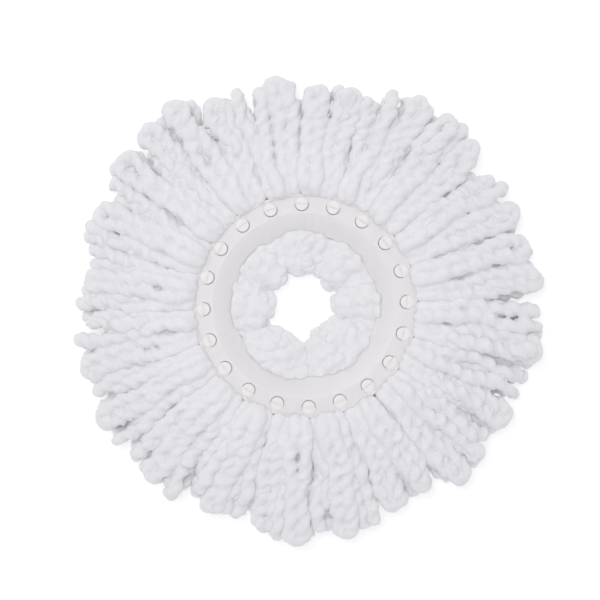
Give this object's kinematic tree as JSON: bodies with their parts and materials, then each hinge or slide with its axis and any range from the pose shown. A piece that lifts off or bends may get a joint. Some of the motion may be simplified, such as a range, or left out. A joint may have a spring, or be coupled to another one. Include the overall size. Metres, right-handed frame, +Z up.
{
  "type": "spin mop refill head",
  "caption": "Round refill head for a spin mop: a white plastic clip ring over a pin ring that clamps a thick spread of fluffy white microfibre strands.",
  "frame": {"origin": "on the rings' axis, at the floor that the yarn lies on", "axes": "+Z up along the rings' axis, out of the side that takes the mop's plate; +X is 2 degrees from the first snap pin"},
  "size_m": [0.334, 0.334, 0.021],
  "materials": {
    "ring_plastic": "smooth moulded polypropylene, slightly see-through",
    "microfibre_yarn": "fluffy white microfibre yarn",
    "tape_webbing": "plain white non-woven tape",
    "sewing_thread": "white polyester thread"
  },
  "bodies": {
    "root": {"clip_ring": "ring_plastic", "pin_ring": "ring_plastic", "header_tape": "tape_webbing", "outer_thread_row": "sewing_thread", "inner_thread_row": "sewing_thread", "upper_tuft_01": "microfibre_yarn", "lower_tuft_01": "microfibre_yarn", "upper_tuft_02": "microfibre_yarn", "lower_tuft_02": "microfibre_yarn", "upper_tuft_03": "microfibre_yarn", "lower_tuft_03": "microfibre_yarn", "upper_tuft_04": "microfibre_yarn", "lower_tuft_04": "microfibre_yarn", "upper_tuft_05": "microfibre_yarn", "lower_tuft_05": "microfibre_yarn", "upper_tuft_06": "microfibre_yarn", "lower_tuft_06": "microfibre_yarn", "upper_tuft_07": "microfibre_yarn", "lower_tuft_07": "microfibre_yarn", "upper_tuft_08": "microfibre_yarn", "lower_tuft_08": "microfibre_yarn", "upper_tuft_09": "microfibre_yarn", "lower_tuft_09": "microfibre_yarn", "upper_tuft_10": "microfibre_yarn", "lower_tuft_10": "microfibre_yarn", "upper_tuft_11": "microfibre_yarn", "lower_tuft_11": "microfibre_yarn", "upper_tuft_12": "microfibre_yarn", "lower_tuft_12": "microfibre_yarn", "upper_tuft_13": "microfibre_yarn", "lower_tuft_13": "microfibre_yarn", "upper_tuft_14": "microfibre_yarn", "lower_tuft_14": "microfibre_yarn", "upper_tuft_15": "microfibre_yarn", "lower_tuft_15": "microfibre_yarn", "upper_tuft_16": "microfibre_yarn", "lower_tuft_16": "microfibre_yarn", "upper_tuft_17": "microfibre_yarn", "lower_tuft_17": "microfibre_yarn", "upper_tuft_18": "microfibre_yarn", "lower_tuft_18": "microfibre_yarn", "upper_tuft_19": "microfibre_yarn", "lower_tuft_19": "microfibre_yarn", "upper_tuft_20": "microfibre_yarn", "lower_tuft_20": "microfibre_yarn", "inner_tuft_01": "microfibre_yarn", "inner_tuft_02": "microfibre_yarn", "inner_tuft_03": "microfibre_yarn", "inner_tuft_04": "microfibre_yarn", "inner_tuft_05": "microfibre_yarn", "inner_tuft_06": "microfibre_yarn", "inner_tuft_07": "microfibre_yarn", "inner_tuft_08": "microfibre_yarn", "inner_tuft_09": "microfibre_yarn", "inner_tuft_10": "microfibre_yarn"}
  },
  "joints": []
}
